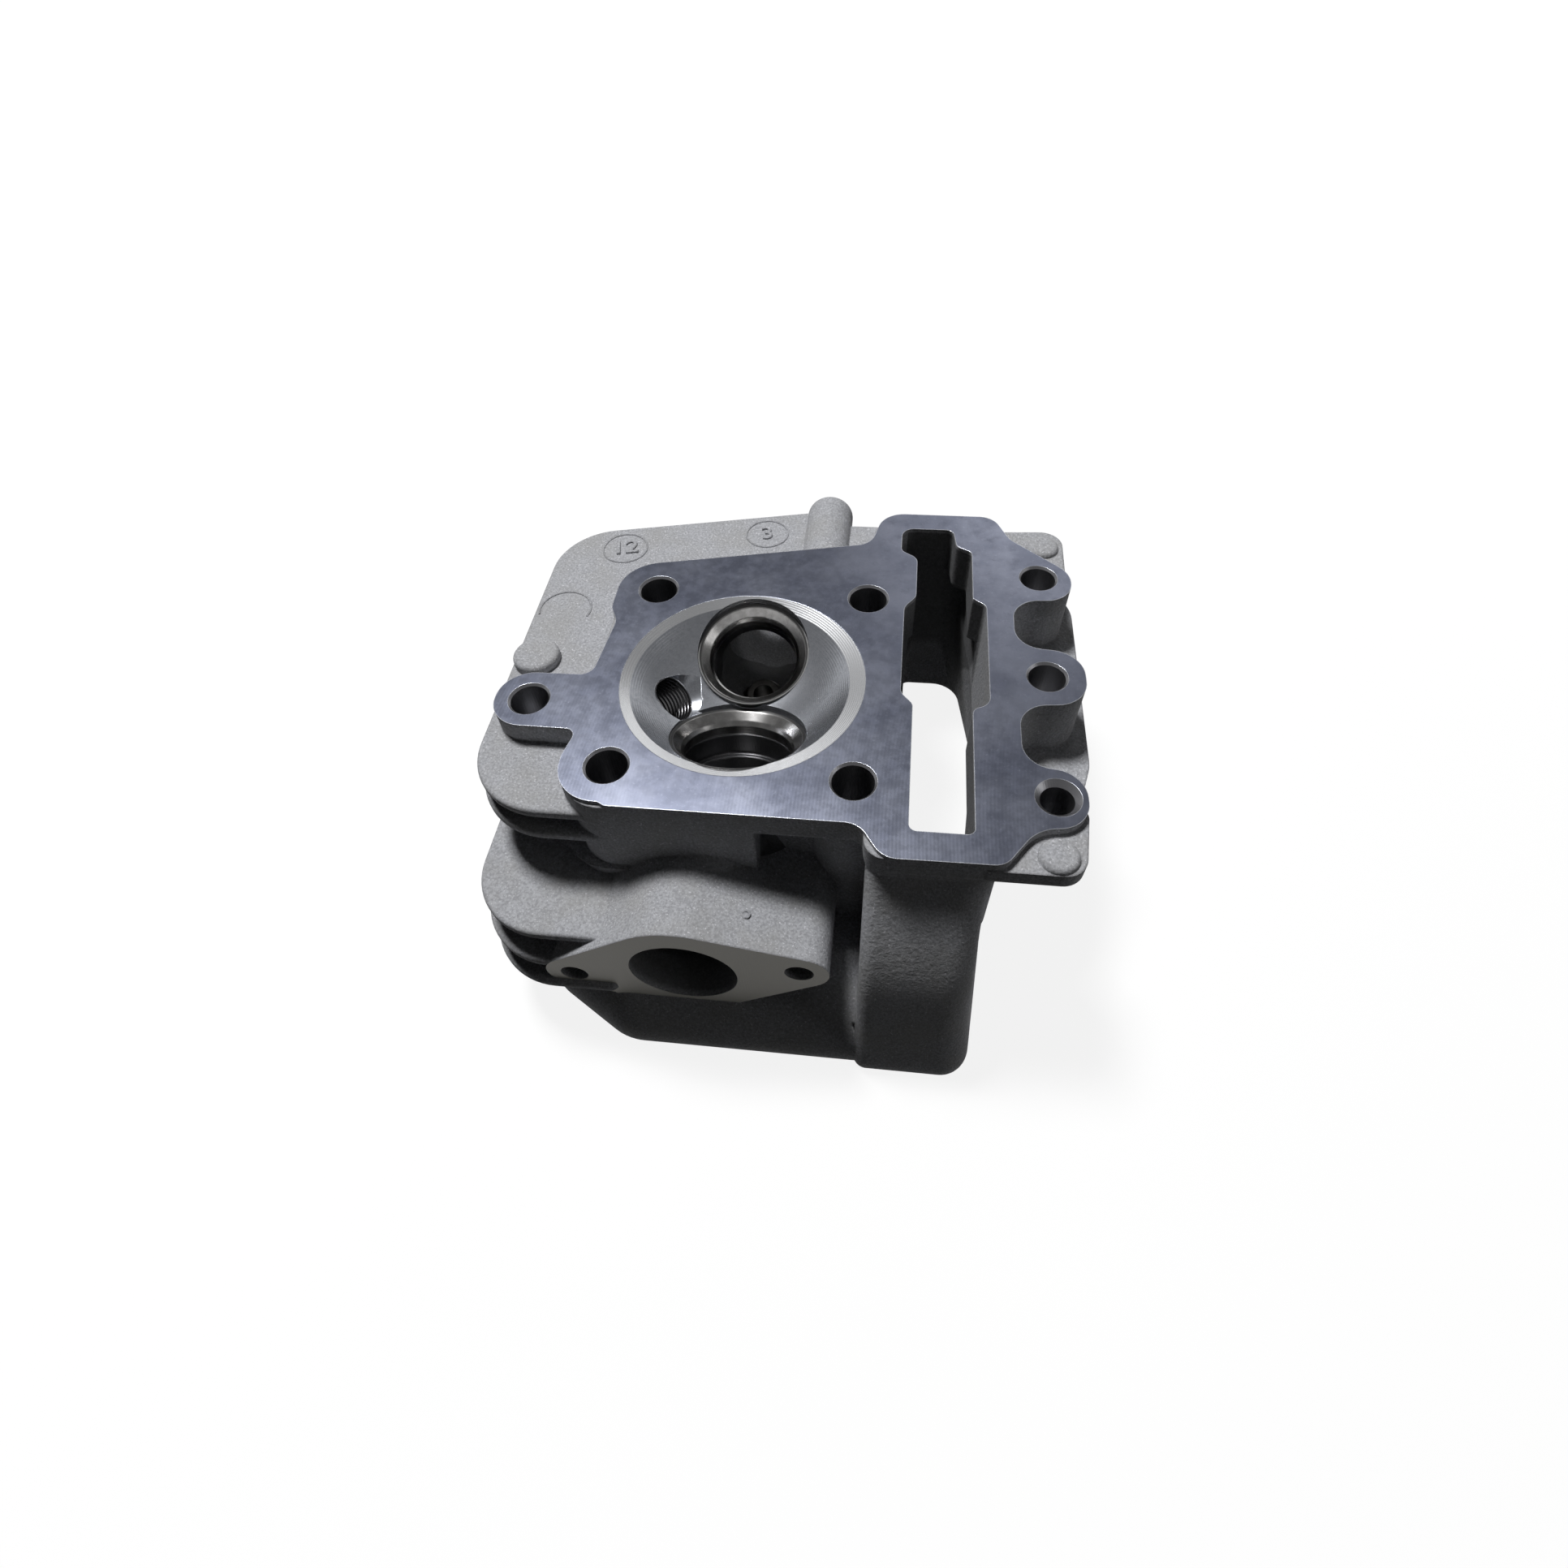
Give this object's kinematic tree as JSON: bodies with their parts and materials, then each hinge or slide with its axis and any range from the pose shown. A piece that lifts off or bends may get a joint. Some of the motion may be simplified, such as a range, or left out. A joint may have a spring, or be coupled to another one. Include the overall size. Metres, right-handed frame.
{
  "type": "motorcycle cylinder head",
  "caption": "Bare air-cooled cylinder head with overhead cam beds, chain tunnel, side fins, inlet and exhaust flanges, pressed valve seats and guides.",
  "frame": {"origin": "middle of the four stud holes, on the gasket face", "axes": "+Z out of the gasket face towards the cylinder, +X towards the chain tunnel, -Y towards the inlet flange, +Y towards the exhaust flange"},
  "size_m": [0.1297, 0.1295, 0.06],
  "materials": {
    "cast_aluminium": "sand-cast skin, with milled joint faces, drilled bores and a turned combustion chamber",
    "seat_steel": "ground sintered steel",
    "guide_iron": "turned and reamed"
  },
  "bodies": {
    "root": {"head_casting": "cast_aluminium", "inlet_valve_seat": "seat_steel", "exhaust_valve_seat": "seat_steel", "inlet_valve_guide": "guide_iron", "exhaust_valve_guide": "guide_iron"}
  },
  "joints": []
}
